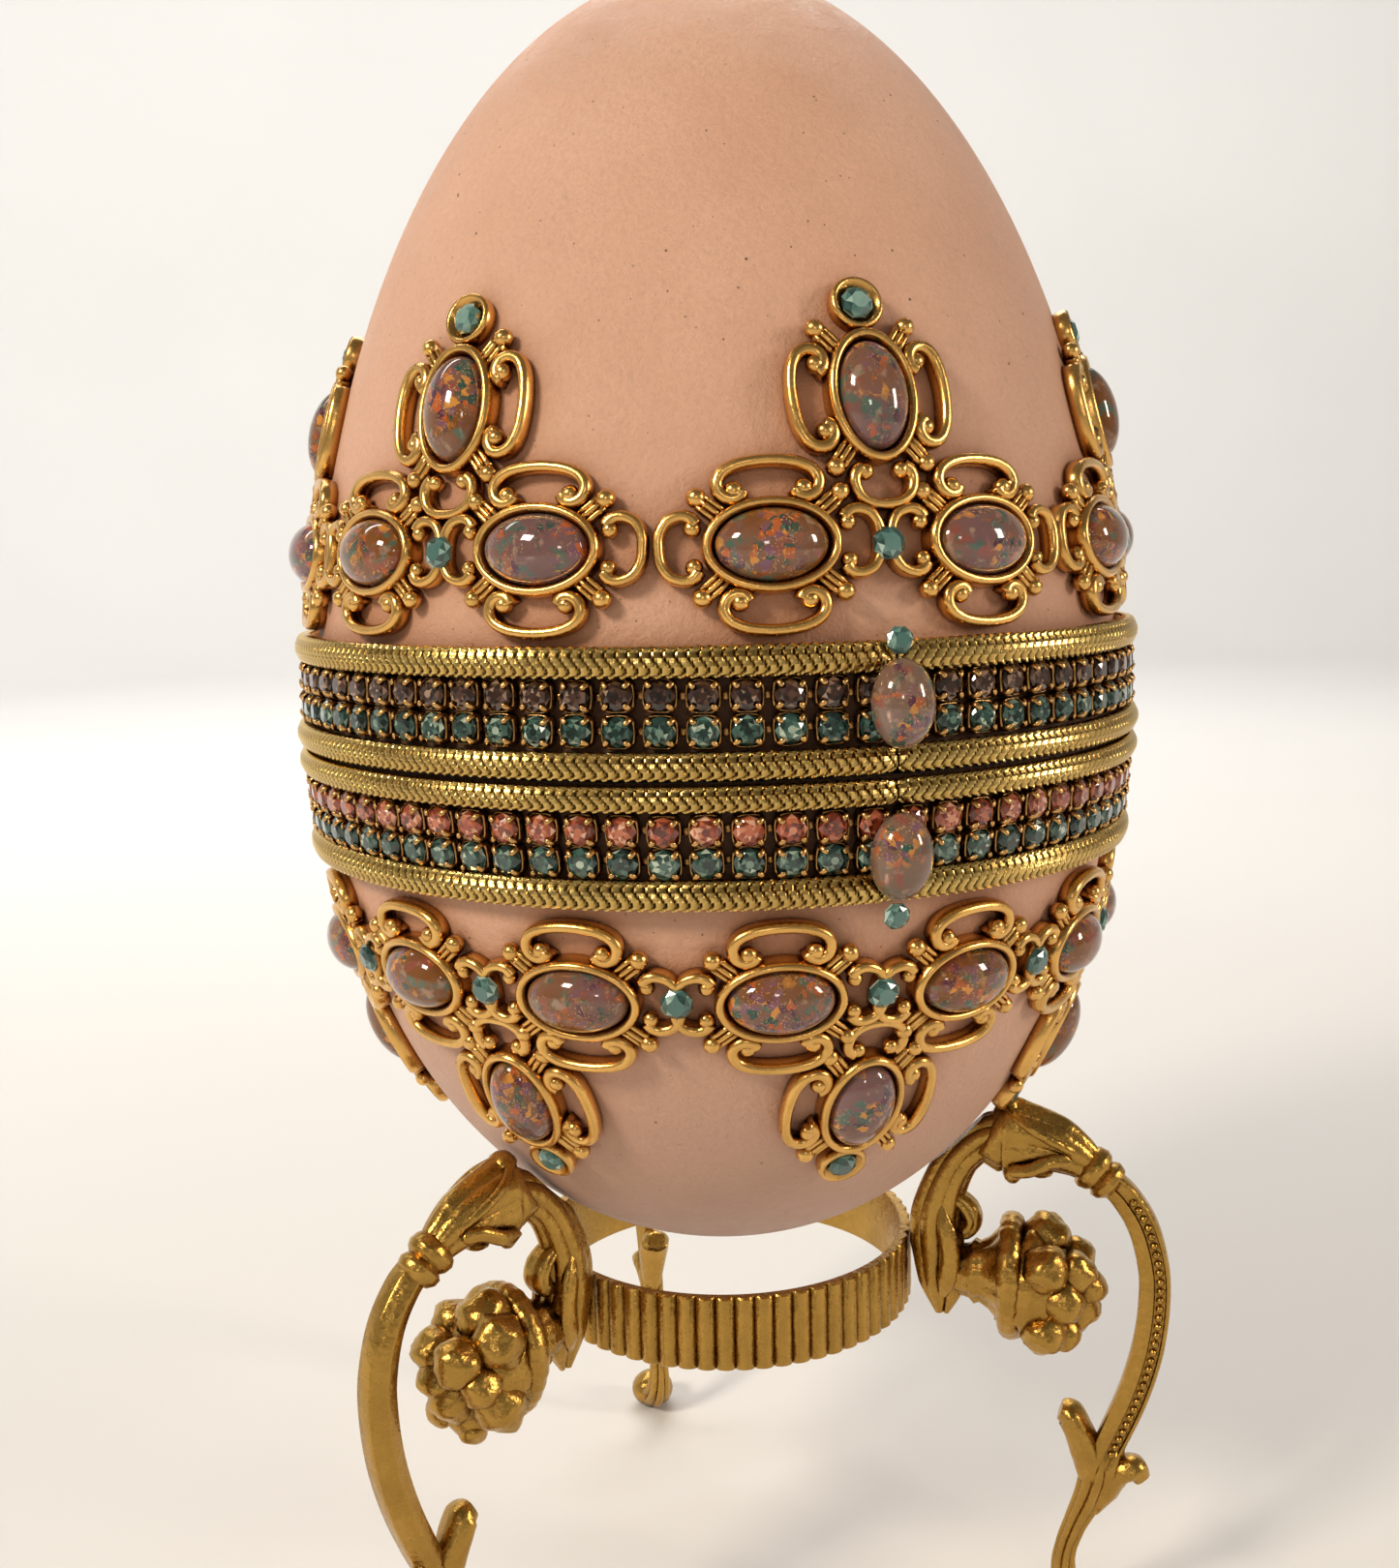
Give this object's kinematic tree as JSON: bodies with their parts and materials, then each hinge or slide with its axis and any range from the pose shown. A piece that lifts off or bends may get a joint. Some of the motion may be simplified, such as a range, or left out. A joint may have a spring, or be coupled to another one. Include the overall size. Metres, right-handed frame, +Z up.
{
  "type": "hinged egg trinket box",
  "caption": "Hinged eggshell trinket box with gold filigree, cabochons and rhinestone trims, resting in a three-legged scroll stand.",
  "frame": {"origin": "on the floor under the egg's axis", "axes": "+Z up, clasp side of the egg towards -Y, hinge at +Y"},
  "size_m": [0.0616, 0.0662, 0.1227],
  "materials": {
    "egg_shell": "matte paint over eggshell, fine orange-peel grain",
    "metallic_braid": "woven metallic thread",
    "cup_chain": "gold plated",
    "purple_glass": "faceted, foiled back",
    "pink_glass": "faceted, foiled back",
    "teal_chain_glass": "faceted, foiled back",
    "teal_glass": "faceted, foiled back",
    "opal_glass": "polished dome with foil flecks",
    "gold_filigree": "polished gold plating",
    "hinge_brass": "satin",
    "stand_brass": "satin antique gold"
  },
  "bodies": {
    "stand": {"cornucopia_back": "stand_brass", "cornucopia_left": "stand_brass", "cornucopia_right": "stand_brass", "leg_back": "stand_brass", "leg_left": "stand_brass", "leg_right": "stand_brass", "stand_ring": "stand_brass"},
    "egg_base": {"base_drop_opals": "opal_glass", "base_drop_stones": "teal_glass", "base_filigree_drops": "gold_filigree", "base_filigree_row": "gold_filigree", "base_front_opal": "opal_glass", "base_front_stone": "teal_glass", "base_hinge_leaf": "hinge_brass", "base_link_stones": "teal_glass", "base_lower_braid": "metallic_braid", "base_pink_chain": "cup_chain", "base_pink_stones": "pink_glass", "base_row_opals": "opal_glass", "base_shell": "egg_shell", "base_teal_chain": "cup_chain", "base_teal_stones": "teal_chain_glass", "base_upper_braid": "metallic_braid", "hinge_pin": "hinge_brass"},
    "lid": {"lid_crest_opals": "opal_glass", "lid_crest_stones": "teal_glass", "lid_filigree_crests": "gold_filigree", "lid_filigree_row": "gold_filigree", "lid_front_opal": "opal_glass", "lid_front_stone": "teal_glass", "lid_hinge_leaf": "hinge_brass", "lid_link_stones": "teal_glass", "lid_lower_braid": "metallic_braid", "lid_purple_chain": "cup_chain", "lid_purple_stones": "purple_glass", "lid_row_opals": "opal_glass", "lid_shell": "egg_shell", "lid_teal_chain": "cup_chain", "lid_teal_stones": "teal_chain_glass", "lid_upper_braid": "metallic_braid"}
  },
  "joints": [
    {"name": "egg_lift", "type": "slide", "parent": "stand", "child": "egg_base", "axis": [0, 0, 1], "range_m": [0, 0.06]},
    {"name": "lid_hinge", "type": "hinge", "parent": "egg_base", "child": "lid", "pos_m": [0, 0.03035, 0.07], "axis": [-1, 0, 0], "range_deg": [0, 100]}
  ]
}
